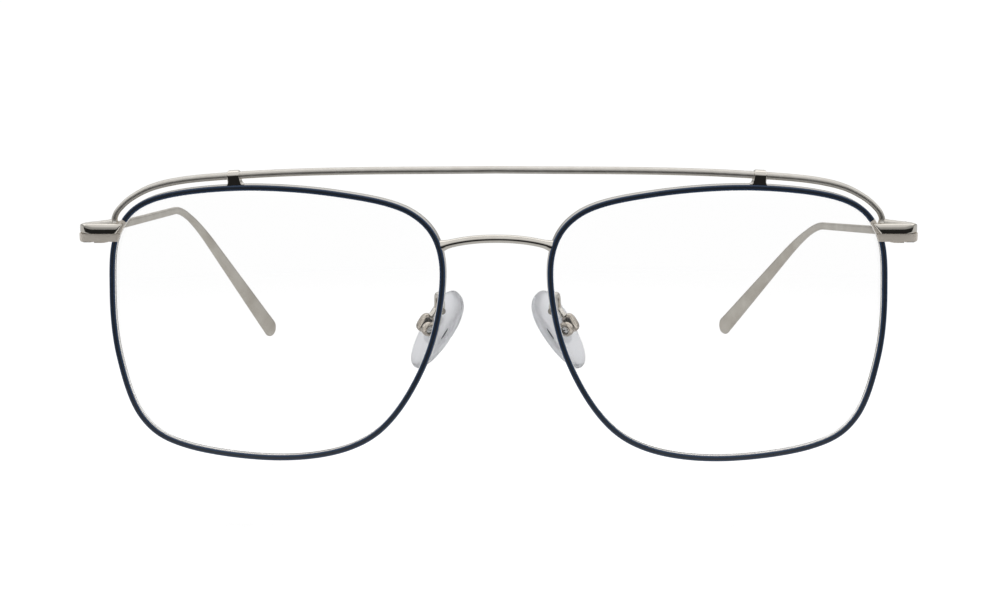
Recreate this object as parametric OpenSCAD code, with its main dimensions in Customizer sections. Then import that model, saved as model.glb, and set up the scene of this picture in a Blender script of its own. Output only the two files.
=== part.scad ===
/* [Lenses and eyewires] */
// Width of each lens, edge to edge
lens_w = 56.6; // [50:0.2:60]
// Height of each lens, edge to edge
lens_h = 46.8; // [40:0.2:50]
// Gap between the two lenses at the nose
lens_gap = 18.6; // [16:0.2:24]
// Thickness of the lens
lens_t = 1.2; // [1:0.1:1.4]
// Radius of the sphere that the lenses and eyewires follow
base_radius = 180; // [120:5:400]
// Turn of each lens back towards the temple, in degrees
wrap = 5; // [0:0.5:8]
// Width of the eyewire seen from the front
rim_w = 1.0; // [0.9:0.05:1.2]
// Depth of the eyewire from front to back
rim_d = 1.9; // [1.7:0.1:2.2]
// Depth of the groove that holds the lens
groove_d = 0.4; // [0.3:0.02:0.5]
// Width of the mouth of that groove
groove_w = 0.9; // [0.8:0.05:1]
// Clearance between lens and groove
lens_play = 0.05; // [0.03:0.01:0.08]
// Saw cut that lets the eyewire open at its lock
rim_cut = 0.2; // [0.1:0.05:0.3]

/* [Bridge and brow bar] */
// Diameter of the lower bridge wire
bridge_d = 1.4; // [1.2:0.05:1.6]
// Height of the bridge's ends above the middle of the lenses
bridge_z = 13.8; // [12:0.2:15]
// Rise of the bridge from its ends to its middle
bridge_rise = 1.35; // [0.6:0.05:2.5]
// Diameter of the brow bar
brow_d = 1.25; // [1.1:0.05:1.3]
// Rise of the brow bar's middle above the lenses' upper edges
brow_z = 3.4; // [2.6:0.1:6.6]
// Radius of the brow bar's bow, seen from above
brow_bow = 388; // [300:4:480]
// Width of each post between brow bar and eyewire
post_w = 2.15; // [1.8:0.05:2.6]
// Wall of the post round the brow bar
post_wall = 0.3; // [0.25:0.01:0.5]
// Distance of each post from the middle of the front
post_x = 43.8; // [40:0.2:48]

/* [End pieces and hinges] */
// Overall width across the end pieces
front_w = 141.8; // [139:0.2:146]
// Height of the end piece
end_h = 3.2; // [3.1:0.05:3.6]
// Height of the rim lock, the part below the split
lock_h = 1.45; // [1.35:0.05:1.6]
// Depth of the lock block behind the end piece's face
block_d = 2.4; // [2.3:0.1:2.8]
// How far the end piece's round upper half stands out in front of the eyewire
face_t = 0.8; // [0.6:0.05:1]
// Thickness of the turned-back side and of the temple's butt
side_t = 1.6; // [1.4:0.05:1.8]
// Distance from the end piece's face back to the hinge axis
hinge_back = 6.3; // [6.3:0.1:8]
// Slope of the turned-back side down to the hinge, in degrees
side_slope = 10; // [8:0.5:12]
// Outer radius of the hinge knuckles
knuckle_r = 1.05; // [0.95:0.01:1.1]
// Diameter of the hinge screw
hinge_pin_d = 0.9; // [0.8:0.05:1]
// Diameter of the lock screw
lock_pin_d = 1.0; // [0.9:0.05:1.1]
// Height of both screws' heads
screw_head_h = 0.5; // [0.4:0.05:0.6]
// Running clearance in the hinges and round the screws
play = 0.04; // [0.03:0.01:0.05]

/* [Temples] */
// Length of the straight arm, from hinge to ear bend
arm_l = 93; // [84:0.5:100]
// Slope of the left arm down from square with the front, in degrees
slope_left = 10.4; // [7.5:0.1:12]
// Slope of the right arm down from square with the front, in degrees
slope_right = 8.1; // [7.5:0.1:12]
// Turn of the left arm in towards the head, in degrees
turn_left = 3; // [0:0.1:3.5]
// Turn of the right arm in towards the head, in degrees
turn_right = 0.5; // [0:0.1:3.5]
// Height of the slim arm
arm_h = 1.5; // [1.3:0.05:2]
// Thickness of the slim arm
arm_t = 1.05; // [0.9:0.05:1.3]
// Length over which the butt narrows to the slim arm
butt_l = 15; // [10:1:25]
// Length of the drop, from ear bend to tip
drop_l = 47.5; // [46:0.5:52]
// Turn of the drop in towards the head, in degrees
drop_turn = 26.5; // [22:0.5:30]
// Depth of both tips' lowest points below the middle of the lenses
tip_down = 34.5; // [33:0.1:36]
// Reach of the rounded ear bend along the arm and the drop
bend_reach = 13.5; // [11:0.5:19]
// Width of the tip's paddle
tip_w = 4; // [3.4:0.1:5]
// Thickness of the tip's paddle
tip_t = 1.35; // [1.2:0.05:1.6]

/* [Nose pads] */
// Length of each pad
pad_l = 15; // [13:0.2:16]
// Width of each pad
pad_w = 8.6; // [7.6:0.1:9]
// Depth of the pad on its nose side
pad_dome = 1.7; // [1.4:0.1:2]
// Depth of the pad on its box side
pad_back = 0.95; // [0.9:0.05:1.1]
// Lean of the pads' tops towards each other, in degrees
pad_flare = 32; // [26:1:36]
// Turn of the pads' faces back from facing each other, in degrees
pad_splay = 30; // [24:1:34]
// Distance from the middle of the front to the pad's middle
pad_x = 10.7; // [10.4:0.1:12]
// Distance of the pad's middle behind the front
pad_y = 10.2; // [9.8:0.1:11.4]
// Height of the pad's middle, below the middle of the lenses
pad_z = -2.9; // [-4:0.1:-2]
// Diameter of the pad arm wire
pad_wire_d = 0.9; // [0.8:0.05:1]
// Width of the pad core's tongue
tongue_w = 0.9; // [0.8:0.05:1]
// Radius of the tongue's eye
eye_r = 0.7; // [0.65:0.01:0.8]
// Diameter of the pad screw
pad_pin_d = 0.8; // [0.7:0.05:0.9]
// Wall of the pad box
box_wall = 0.55; // [0.5:0.05:0.7]

/* [Hidden] */
$fn = 48;
LEFT = 1;
RIGHT = -1;

// Everything is drawn for the wearer's left, on the +X side, in the front's own frame:
// Y runs back from the front, Z runs up it, and the origin is midway between the lenses.

// Lens outline, temple side first and then over the top, on a drawing 56.8 by 47
outline_size = [56.8, 47];
outline = [
    [28.4, 5.2], [27.1, 15.2], [20.9, 21], [5.9, 23.4], [-10.7, 22.6], [-23.3, 19.3],
    [-28.2, 11.5], [-26.5, -2.5], [-20.4, -14.8], [-12.5, -21.2], [0.3, -23.5],
    [16.5, -21.9], [24.2, -17.1], [27.7, -6.3]
];
// Places on the outline, counted in its points
lock_at = 1;
pad_arm_at = 6.65;
steps_per_point = 6;
rim_steps = len(outline) * steps_per_point;

// Brow bar from its middle to its end, as shares of its half length and of its drop
brow_shape = [
    [0, 0], [0.3, 0.022], [0.5, 0.062], [0.66, 0.13], [0.8, 0.225], [0.89, 0.36],
    [0.95, 0.56], [0.985, 0.76], [0.998, 0.9], [1, 1]
];

lens_x = lens_gap / 2 + lens_w / 2 * cos(wrap);
rim_in = -groove_d;
rim_out = rim_w - groove_d;
rim_edge = 0.12;
lens_mid = rim_d / 2;

// Smooth curve through points, at t counted in points
function knot(p, i, loop) =
    loop ? p[(i + 4 * len(p)) % len(p)] :
    i < 0 ? 2 * p[0] - p[1] :
    i > len(p) - 1 ? 2 * p[len(p) - 1] - p[len(p) - 2] : p[i];
function curve(p, t, loop = false) =
    let (
        i = loop ? floor(t) : min(floor(t), len(p) - 2),
        u = t - i,
        a = knot(p, i - 1, loop),
        b = knot(p, i, loop),
        c = knot(p, i + 1, loop),
        d = knot(p, i + 2, loop)
    )
    0.5 * (2 * b + (c - a) * u + (2 * a - 5 * b + 4 * c - d) * u * u
        + (3 * b - a - 3 * c + d) * u * u * u);
function unit(v) = v / norm(v);

// Lens edge at t, its outward normal, and how far the sphere lies behind it
function edge(t) =
    let (p = curve(outline, t, true))
    [p.x * lens_w / outline_size.x, p.y * lens_h / outline_size.y];
function outward(t) = let (d = unit(edge(t + 0.01) - edge(t - 0.01))) [d.y, -d.x];
function sag(p) = (p.x * p.x + p.y * p.y) / (2 * base_radius);
// Point beside the lens edge: out from the edge by n and back from the front by y
function beside(t, n, y) =
    let (e = edge(t), p = e + n * outward(t))
    [p.x, sag(e) + y, p.y];
// From the lens's own frame to the front's frame
function placed(p) = [
    lens_x + p.x * cos(wrap) - p.y * sin(wrap),
    p.x * sin(wrap) + p.y * cos(wrap),
    p.z
];
function rim_point(t, n, y) = placed(beside(t, n, y));

// End piece: its heights, its faces and the hinge axis
split_z = edge(lock_at).y;
end_bottom = split_z - lock_h;
end_top = end_bottom + end_h;
end_x = front_w / 2;
lock_face_y = rim_point(lock_at, 0, 0).y - 0.05;
face_y = lock_face_y - face_t;
block_y = face_y + block_d;
hinge_y = face_y + hinge_back;
hinge_x = end_x - side_t - knuckle_r - 5 * play;
lock_x = end_x - 3.6;
lock_y = lock_face_y + (block_y - lock_face_y) / 2;
face_low_x = rim_point(lock_at, 0.3, 0).x;
end_slant = 1.25;
block_in = face_low_x - end_slant - 1;
edge_r = 0.5;
corner_r = 0.9;
visor_r = 1.9;
// The turned-back side and the hinge stand lower than the face by this much
function side_fall(y) = (y - face_y) * tan(side_slope);
hinge_bottom = end_bottom - side_fall(hinge_y);
hinge_top = hinge_bottom + end_h;
hinge_z = (hinge_top + hinge_bottom) / 2;
leaf_t = 0.8;
leaf_l = 3.6;
screw_head_r = 0.8;
lock_head_r = 0.62;
slot_w = 0.22;
slot_d = 0.22;
pin_gap = 0.05;
knuckle_h = (end_h - screw_head_h) / 3;
seat_gap = 0.02;
lock_grip = 1.3;

// Brow bar: where it lands on the end piece and how it runs
brow_top = lens_h / 2 + brow_z;
brow_front = 0.3;
brow_end = [end_x - 6.1, end_top + seat_gap];
function brow_at(t) =
    let (
        s = curve(brow_shape, abs(t)),
        x = brow_end.x * s.x * sign(t),
        z = brow_top - (brow_top - brow_end.y) * s.y
    )
    [x, brow_front + x * x / (2 * brow_bow), z];
// Where the bridge's ends stand on the lens outline
bridge_at = lookup(-bridge_z, [for (t = [5:0.1:6.5]) [-rim_point(t, rim_out, 0).z, t]]);
// Where the posts stand, along the brow bar and along the lens outline
post_t = lookup(post_x, [for (t = [0:0.1:7]) [brow_at(t).x, t]]);
post_rim_t = lookup(post_x, [for (t = [2:0.1:4]) [rim_point(t, rim_out, 0).x, t]]);

// Temples: arm, ear bend and drop, each a straight run, with both tips at one height
tip_r = tip_w / 2;
temple_start = [end_x - side_t / 2, hinge_y + play, hinge_z];
root_l = leaf_l + 1.4;
function arm_dir(side, turned = true) =
    let (
        slope = side == LEFT ? slope_left : slope_right,
        turn = !turned ? 0 : side == LEFT ? turn_left : turn_right
    )
    [-cos(slope) * sin(turn), cos(slope) * cos(turn), -sin(slope)];
function ear(side) =
    temple_start + root_l * arm_dir(side, false) + (arm_l - root_l) * arm_dir(side);
function drop_dir(side) =
    let (slope = asin((ear(side).z + tip_down - tip_r) / (drop_l - tip_r)))
    [-cos(slope) * sin(drop_turn), cos(slope) * cos(drop_turn), -sin(slope)];
function tip_mid(side) = ear(side) + (drop_l - tip_r) * drop_dir(side);

// The glasses rest on the eyewires' lower front edges and on both tips' round ends
rim_foot = [sag([0, lens_h / 2]) + rim_edge, -lens_h / 2 - rim_out];
tips = (tip_mid(LEFT) + tip_mid(RIGHT)) / 2;
rest_run = tips.y - rim_foot.x;
rest_drop = tips.z - rim_foot.y;
tilt = asin(tip_r / norm([rest_run, rest_drop])) - atan2(rest_drop, rest_run);
lift = -(rim_foot.x * sin(tilt) + rim_foot.y * cos(tilt));
front_end_y = (brow_front - brow_d / 2) * cos(tilt) - brow_top * sin(tilt);
back_end_y = max([for (side = [LEFT, RIGHT])
    tip_mid(side).y * cos(tilt) - tip_mid(side).z * sin(tilt) + tip_r]);
middle_y = (front_end_y + back_end_y) / 2;

// Nose pad axes: along its screw to the front, up its length, and out to the nose
pad_up = [-sin(pad_flare), 0, cos(pad_flare)];
pad_out = [-cos(pad_flare) * cos(pad_splay), sin(pad_splay), -sin(pad_flare) * cos(pad_splay)];
pad_fore = cross(pad_up, pad_out);
pad_mid = [pad_x, pad_y, pad_z];
pad_gap = 0.45;
pad_pin_back = pad_back + pad_gap + eye_r;
box_foot = pad_pin_back + eye_r + 2 * play;
box_low = -1.5;
box_high = 2.1;
box_r = 0.6;
pad_head_r = 0.62;
pad_head_h = 0.35;
// Half width and half height of the core's plate and its tongue, and the plate's place and round
plate = [1.2, 2.6];
plate_t = 0.45;
plate_back = 0.5;
plate_r = 1;
tongue_high = 0.6;
cheek_in = tongue_w / 2 + play;
function from_pad(p) = pad_mid + p.x * pad_fore + p.y * pad_up + p.z * pad_out;

// Draws children for one side, standing on the table
module at_rest(side = LEFT) {
    translate([0, -middle_y, lift])
        rotate([tilt, 0, 0])
            mirror([side == LEFT ? 0 : 1, 0, 0])
                children();
}

module lens_frame() {
    translate([lens_x, 0, 0]) rotate([0, 0, wrap]) children();
}

module pad_frame() {
    multmatrix([
        [pad_fore.x, pad_up.x, pad_out.x, pad_mid.x],
        [pad_fore.y, pad_up.y, pad_out.y, pad_mid.y],
        [pad_fore.z, pad_up.z, pad_out.z, pad_mid.z],
        [0, 0, 0, 1]
    ]) children();
}

// Closed skin over rings of points, with a pole at each end
module skin(rings, first, last) {
    n = len(rings[0]);
    m = len(rings);
    function at(i, j) = 1 + i * n + j % n;
    polyhedron(
        points = concat([first], [for (r = rings) each r], [last]),
        faces = concat(
            [for (j = [0:n - 1]) [0, at(0, j + 1), at(0, j)]],
            [for (i = [0:m - 2], j = [0:n - 1]) each [
                [at(i, j), at(i, j + 1), at(i + 1, j + 1)],
                [at(i, j), at(i + 1, j + 1), at(i + 1, j)]
            ]],
            [for (j = [0:n - 1]) [1 + m * n, at(m - 1, j), at(m - 1, j + 1)]]
        )
    );
}

// Ring of n points with half axes a and b in directions s and v; power 2 is an ellipse
function ring(mid, s, v, a, b, n, power = 2) = [
    for (k = [0:n - 1])
        let (c = cos(360 * k / n), d = sin(360 * k / n))
        mid + s * a * sign(c) * pow(abs(c), 2 / power) + v * b * sign(d) * pow(abs(d), 2 / power)
];

// Round wire along points, with its radius at each point, turned by a side that it never runs along
module wire(path, radii, n, reference = [0, 0.3, 1]) {
    last = len(path) - 1;
    skin(
        [for (i = [0:last])
            let (
                d = unit(path[min(i + 1, last)] - path[max(i - 1, 0)]),
                s = unit(cross(d, reference)),
                v = cross(s, d)
            )
            ring(path[i], s, v, radii[i], radii[i], n)],
        path[0], path[last]
    );
}

// Stretch of eyewire from one place on the outline to another
module rim_stretch(section, from, to, steps) {
    middle = [rim_out - 0.2, rim_d / 2];
    function at(t) = [for (s = section) beside(t, s.x, s.y)];
    lens_frame()
        skin(
            [for (i = [0:steps]) at(from + (to - from) * i / steps)],
            beside(from, middle.x, middle.y), beside(to, middle.x, middle.y)
        );
}

rim_section = [
    [0, rim_d / 2],
    [rim_in, rim_d / 2 + groove_w / 2],
    [rim_in, rim_d - rim_edge],
    [rim_in + rim_edge, rim_d],
    [rim_out - rim_edge, rim_d],
    [rim_out, rim_d - rim_edge],
    [rim_out, rim_edge],
    [rim_out - rim_edge, 0],
    [rim_in + rim_edge, 0],
    [rim_in, rim_edge],
    [rim_in, rim_d / 2 - groove_w / 2]
];
// Room for the eyewire from its front back, a hair wider than the eyewire
rim_seat = [
    [rim_in - 2, rim_d + 3],
    [rim_out + seat_gap, rim_d + 3],
    [rim_out + seat_gap, -seat_gap],
    [rim_in - 2, -seat_gap]
];

module eyewire() {
    cut = rim_cut / 2 / norm(edge(lock_at + 0.5) - edge(lock_at - 0.5));
    color("midnightblue")
        rim_stretch(rim_section, lock_at + cut, lock_at + len(outline) - cut, rim_steps);
}

module lens() {
    wall = -groove_d - lens_play;
    bevel = groove_w / 2 - lens_play;
    apex = -1.5 * lens_play;
    front = lens_mid - lens_t / 2;
    back = lens_mid + lens_t / 2;
    function lens_ring(n, y) =
        [for (i = [0:rim_steps - 1]) beside(lock_at + i / steps_per_point, n, y)];
    function inner_ring(share, y) =
        [for (i = [0:rim_steps - 1])
            let (
                t = lock_at + i / steps_per_point,
                p = share * (edge(t) + wall * outward(t))
            )
            [p.x, sag(p) + y, p.y]];
    color("aliceblue", 0.4)
        lens_frame()
            skin(
                [
                    inner_ring(0.35, front), inner_ring(0.7, front), lens_ring(wall, front),
                    lens_ring(wall, lens_mid - bevel), lens_ring(apex, lens_mid),
                    lens_ring(wall, lens_mid + bevel), lens_ring(wall, back),
                    inner_ring(0.7, back), inner_ring(0.35, back)
                ],
                [0, front, 0], [0, back, 0]
            );
}

// Lower bridge: a wire from eyewire to eyewire, a little thicker where it is soldered
module bridge() {
    steps = 24;
    foot = rim_point(bridge_at, rim_out + 3 * seat_gap, rim_d / 2);
    path = [for (i = [0:steps])
        let (u = 2 * i / steps - 1, a = abs(u))
        [foot.x * u, foot.y * (0.35 + 0.65 * a * a), bridge_z + bridge_rise * (1 - pow(a, 2.2))]];
    radii = [for (p = path)
        let (end_gap = foot.x - abs(p.x))
        bridge_d / 2 * (1 + 0.25 * exp(-end_gap * end_gap))];
    color("silver") wire(path, radii, 14);
}

module brow_bar() {
    steps = 30;
    last = len(brow_shape) - 1;
    path = [for (i = [-steps:steps]) brow_at(last * i / steps)];
    color("silver") wire(path, [for (p = path) brow_d / 2], 12);
}

// Post that clasps the brow bar and stands on the eyewire
module brow_post() {
    r = brow_d / 2 + post_wall;
    bar = brow_at(post_t);
    run = brow_at(post_t + 0.1) - brow_at(post_t - 0.1);
    lean = atan2(-run.z, norm([run.x, run.y]));
    drop = (bar.z - rim_point(post_rim_t, rim_out, rim_d / 2).z) * cos(lean) - seat_gap;
    color("silver")
        translate(bar)
            rotate([0, lean, atan2(run.y, run.x)])
                difference() {
                    union() {
                        rotate([0, 90, 0]) cylinder(r = r, h = post_w, center = true);
                        translate([-post_w / 2, -r, -drop]) cube([post_w, 2 * r, drop]);
                    }
                    rotate([0, 90, 0]) cylinder(r = brow_d / 2 + play, h = post_w + 1, center = true);
                }
}

// Quarter turn of radius r round a corner's centre, from one angle to another
function turn_of(centre, r, from, to) =
    [for (i = [0:6]) let (a = from + (to - from) * i / 6) centre + r * [cos(a), sin(a)]];

// Block of the end piece seen from above, from a face back, with a round outer corner
module block_plan(front_y, r) {
    polygon(concat(
        [[block_in, block_y], [block_in, front_y]],
        turn_of([end_x - r, front_y + r], r, -90, 0),
        [[end_x, block_y]]
    ));
}

// Block seen from the front, from its slanted inner end to its round outer edge
module block_slab(low, high) {
    upper = high > split_z;
    low_edge = [end_x - edge_r, low + edge_r];
    high_edge = [end_x - edge_r, high - edge_r];
    translate([0, hinge_y, 0])
        rotate([90, 0, 0])
            linear_extrude(hinge_back + 1)
                polygon(concat(
                    [[face_low_x - (upper ? end_slant : 0), high], [face_low_x, low]],
                    upper ? [[end_x, low]] : turn_of(low_edge, edge_r, -90, 0),
                    upper ? turn_of(high_edge, edge_r, 0, 90) : [[end_x, high]]
                ));
}

// Room that the eyewire takes out of the end piece and the lock
module rim_room() {
    rim_stretch(rim_seat, lock_at - 0.4, lock_at + 0.5, 8);
}

// Upper half: a round-fronted visor that overhangs the lock, and the side turned back
module end_piece() {
    low = split_z + rim_cut / 2;
    top_r = 0.7;
    function swell(u, v) = [face_y + u * face_t, low + v * (end_top - top_r - low)];
    profile = concat(
        [swell(1.65, -0.35), swell(0.35, 0.35), swell(0.06, 0.75)],
        [for (a = [180:-15:105]) [face_y + top_r, end_top - top_r] + top_r * [cos(a), sin(a)]],
        [[face_y + 1.2, end_top + 0.1], [block_y + 1, end_top + 0.1], [block_y + 1, low - 0.3]]
    );
    side = [
        [block_y - 0.3, low + 0.4], [block_y - 0.3, end_top - edge_r - 0.1],
        [block_y + 0.3, end_top - side_fall(block_y + 0.3)],
        [hinge_y, hinge_top], [hinge_y, hinge_bottom],
        [block_y + rim_cut, end_bottom - side_fall(block_y + rim_cut)],
        [block_y + rim_cut, low + 0.4]
    ];
    color("silver")
        difference() {
            union() {
                intersection() {
                    translate([0, 0, low - 1]) linear_extrude(end_h + 2) block_plan(face_y, visor_r);
                    block_slab(low, end_top);
                    translate([block_in, 0, 0])
                        rotate([90, 0, 90]) linear_extrude(end_x - block_in + 1) polygon(profile);
                }
                translate([end_x - side_t, 0, 0])
                    rotate([90, 0, 90]) linear_extrude(side_t) polygon(side);
            }
            rim_room();
            translate([lock_x, lock_y, low - 1]) cylinder(r = lock_pin_d / 2 + 0.01, h = lock_grip + 1);
        }
}

// Lower half of the block, which the lock screw pulls up to close the eyewire on its lens
module rim_lock() {
    color("silver")
        difference() {
            intersection() {
                translate([0, 0, end_bottom]) linear_extrude(lock_h) block_plan(lock_face_y, corner_r);
                block_slab(end_bottom, split_z - rim_cut / 2);
            }
            rim_room();
            translate([lock_x, lock_y, end_bottom - 1])
                cylinder(r = lock_pin_d / 2 + play, h = end_h);
            translate([lock_x, lock_y, end_bottom - 1])
                cylinder(r = lock_head_r + play, h = 1 + screw_head_h);
        }
}

// Slotted screw along +Z, with its head at the bottom
module screw(head_r, pin_d, length) {
    difference() {
        union() {
            cylinder(r = head_r, h = screw_head_h);
            cylinder(r = pin_d / 2, h = length);
        }
        translate([-head_r - 1, -slot_w / 2, -1]) cube([2 * head_r + 2, slot_w, 1 + slot_d]);
    }
}

module lock_screw() {
    color("gainsboro")
        translate([lock_x, lock_y, end_bottom])
            screw(lock_head_r, lock_pin_d, lock_h + lock_grip - 0.1);
}

// Knuckle of the hinge, number 0 to 2 from the bottom, with its bore left to the caller
module knuckle(number, r) {
    translate([hinge_x, hinge_y, hinge_bottom + number * knuckle_h + (number > 0 ? pin_gap / 2 : 0)])
        cylinder(r = r, h = knuckle_h - (number == 1 ? pin_gap : pin_gap / 2));
}

// Web from a knuckle to its leaf, on the front's side or the temple's
module web(number, side) {
    translate([
        hinge_x, side < 0 ? hinge_y - knuckle_r : hinge_y + play,
        hinge_bottom + number * knuckle_h + (number > 0 ? pin_gap / 2 : 0)
    ])
        cube([
            end_x - side_t - hinge_x, knuckle_r - (side < 0 ? 0 : play),
            knuckle_h - (number == 1 ? pin_gap : pin_gap / 2)
        ]);
}

// Slot that the other leaf's knuckle turns in
module knuckle_room(number) {
    translate([hinge_x, hinge_y, hinge_bottom + number * knuckle_h - pin_gap / 2])
        cylinder(r = knuckle_r + play, h = knuckle_h + pin_gap);
}

module hinge_pin_bore(r) {
    translate([hinge_x, hinge_y, hinge_bottom - 1]) cylinder(r = r, h = end_h + 2);
}

module hinge_front() {
    leaf_rise = 0.15;
    leaf_end = 0.1;
    leaf_low = end_bottom - side_fall(hinge_y - leaf_l) + leaf_rise;
    leaf_h = 3 * knuckle_h - 0.2;
    color("silver")
        difference() {
            union() {
                for (number = [0, 2]) {
                    knuckle(number, knuckle_r);
                    web(number, -1);
                }
                difference() {
                    translate([end_x - side_t - leaf_t, 0, 0])
                        rotate([90, 0, 90])
                            linear_extrude(leaf_t)
                                polygon([
                                    [hinge_y - leaf_l, leaf_low],
                                    [hinge_y - leaf_end, hinge_bottom + leaf_rise],
                                    [hinge_y - leaf_end, hinge_bottom + leaf_h],
                                    [hinge_y - leaf_l, leaf_low + leaf_h - leaf_rise]
                                ]);
                    knuckle_room(1);
                }
            }
            hinge_pin_bore(hinge_pin_d / 2 + 0.01);
        }
}

module hinge_temple() {
    color("silver")
        difference() {
            union() {
                knuckle(1, knuckle_r);
                web(1, 1);
                difference() {
                    translate([end_x - side_t - leaf_t, hinge_y, hinge_z])
                        rotate([-side_slope, 0, 0])
                            translate([0, 0.3, -knuckle_h * 1.2]) cube([leaf_t, leaf_l, knuckle_h * 2.4]);
                    knuckle_room(0);
                    knuckle_room(2);
                }
            }
            hinge_pin_bore(hinge_pin_d / 2 + play);
        }
}

module hinge_screw() {
    color("gainsboro")
        translate([hinge_x, hinge_y, hinge_top])
            mirror([0, 0, 1]) screw(screw_head_r, hinge_pin_d, end_h);
}

// Point of a temple at s millimetres from its butt
function temple_at(s, side) =
    let (d = arm_dir(side), e = drop_dir(side), u = (s - arm_l + bend_reach) / (2 * bend_reach))
    s < root_l ? temple_start + s * arm_dir(side, false) :
    u < 0 ? ear(side) + (s - arm_l) * d :
    u > 1 ? ear(side) + (s - arm_l) * e :
    ear(side) - pow(1 - u, 2) * bend_reach * d + u * u * bend_reach * e;
function ease(u) = let (c = max(0, min(1, u))) (1 - cos(180 * c)) / 2;

module temple(side) {
    total = arm_l + drop_l;
    straight = arm_l - bend_reach - butt_l;
    stops = concat(
        [for (u = [0:0.125:1]) u * butt_l],
        [butt_l + straight / 5, arm_l - bend_reach - straight / 5],
        [for (u = [0:0.0625:1]) arm_l + bend_reach * (2 * u - 1)],
        [for (u = [0.16:0.16:0.97]) arm_l + bend_reach + u * (drop_l - bend_reach - tip_r)],
        [for (a = [0:15:75]) total - tip_r + tip_r * sin(a)]
    );
    function round_end(s) = sqrt(max(0, 1 - pow(max(0, s - total + tip_r) / tip_r, 2)));
    function paddle(s) = max(0, s - arm_l) / drop_l;
    rings = [for (s = stops)
        let (
            d = unit(temple_at(s + 0.1, side) - temple_at(max(0, s - 0.1), side)),
            slim = ease(s / butt_l),
            square_across = unit(cross(d, [0, 0, 1])),
            across = unit((1 - slim) * [1, 0, 0] + slim * square_across),
            up = unit((1 - slim) * [0, 0, 1] + slim * cross(square_across, d)),
            tall = (end_h - 2 * pin_gap) * (1 - slim) + arm_h * slim + (tip_w - arm_h) * paddle(s),
            thick = side_t * (1 - slim) + arm_t * slim + (tip_t - arm_t) * paddle(s)
        )
        ring(
            temple_at(s, side), across, up,
            thick / 2 * (0.4 + 0.6 * round_end(s)), tall / 2 * round_end(s),
            16, 8 - 5 * slim
        )];
    color("lightgray") skin(rings, temple_at(0, side), temple_at(total, side));
}

// Wire loop from the back of the eyewire to the pad box
module pad_arm() {
    foot = rim_point(pad_arm_at, rim_out - 0.2, rim_d + 3 * seat_gap);
    box_top = from_pad([0, box_high + seat_gap, -pad_pin_back - 0.3]);
    route = [
        foot, foot + [0.05, 0.9, 0.1], foot + [0.25, 2.2, 0.65], foot + [0.7, 3.7, 1.4],
        foot + [1.4, 5, 1.2], box_top + 1.8 * pad_up, box_top + 0.9 * pad_up, box_top
    ];
    path = [for (t = [0:0.25:len(route) - 1]) curve(route, t)];
    color("silver") wire(path, [for (p = path) pad_wire_d / 2], 10, [1, 0, 0]);
}

// Slab with round corners from low to high, for the pad box and the pad core
module slab(low, high, r, h) {
    translate([low.x + r, low.y]) cube([high.x - low.x - 2 * r, high.y - low.y, h]);
    translate([low.x, low.y + r]) cube([high.x - low.x, high.y - low.y - 2 * r, h]);
    for (x = [low.x + r, high.x - r], y = [low.y + r, high.y - r])
        translate([x, y]) cylinder(r = r, h = h);
}

module pad_pin(r, length) {
    translate([-length / 2, 0, -pad_pin_back]) rotate([0, 90, 0]) cylinder(r = r, h = length);
}

module pad_box() {
    half = cheek_in + box_wall;
    color("silver")
        pad_frame()
            difference() {
                translate([0, 0, -box_foot - box_wall])
                    slab([-half, box_low], [half, box_high], box_r, box_foot + box_wall - pad_back - pad_gap);
                translate([-cheek_in, box_low - 1, -box_foot])
                    cube([2 * cheek_in, box_high - 2.1 * box_wall - box_low + 1, box_foot]);
                pad_pin(pad_pin_d / 2 + 0.01, 4);
            }
}

module pad_screw() {
    half = cheek_in + box_wall;
    color("gainsboro")
        pad_frame()
            difference() {
                union() {
                    pad_pin(pad_pin_d / 2, 2 * half);
                    translate([half, 0, -pad_pin_back])
                        rotate([0, 90, 0]) cylinder(r = pad_head_r, h = pad_head_h);
                }
                translate([half + pad_head_h - slot_d, -slot_w / 2, -pad_pin_back - 1])
                    cube([1, slot_w, 2]);
            }
}

// Metal plate inside the pad, grown by room to cut its pocket, and its tongue
module core_shape(room) {
    grown = plate + [room, room];
    translate([0, 0, -plate_back - room]) slab(-grown, grown, plate_r, plate_t + 2 * room);
    translate([-tongue_w / 2 - room, -tongue_high - room, -pad_pin_back])
        cube([tongue_w + 2 * room, 2 * (tongue_high + room), pad_pin_back - plate_back + plate_t / 2]);
}

module pad_core() {
    color("silver")
        pad_frame()
            difference() {
                union() {
                    core_shape(0);
                    pad_pin(eye_r, tongue_w);
                }
                pad_pin(pad_pin_d / 2 + play, 4);
            }
}

module nose_pad() {
    around = 28;
    function drop_ring(k) =
        let (
            a = -90 + 180 * k / 10,
            grow = pow(cos(a), 0.62),
            z = sin(a) * (a < 0 ? pad_back : pad_dome)
        )
        [for (j = [0:around - 1])
            let (c = cos(360 * j / around), d = sin(360 * j / around))
            [grow * pad_w / 2 * (0.88 + 0.12 * d) * sign(c) * pow(abs(c), 0.9),
                grow * pad_l / 2 * sign(d) * pow(abs(d), 0.95), z]];
    color("white", 0.5)
        pad_frame()
            difference() {
                skin([for (k = [9:-1:1]) drop_ring(k)], [0, 0, pad_dome], [0, 0, -pad_back]);
                core_shape(0.02);
            }
}

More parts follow.
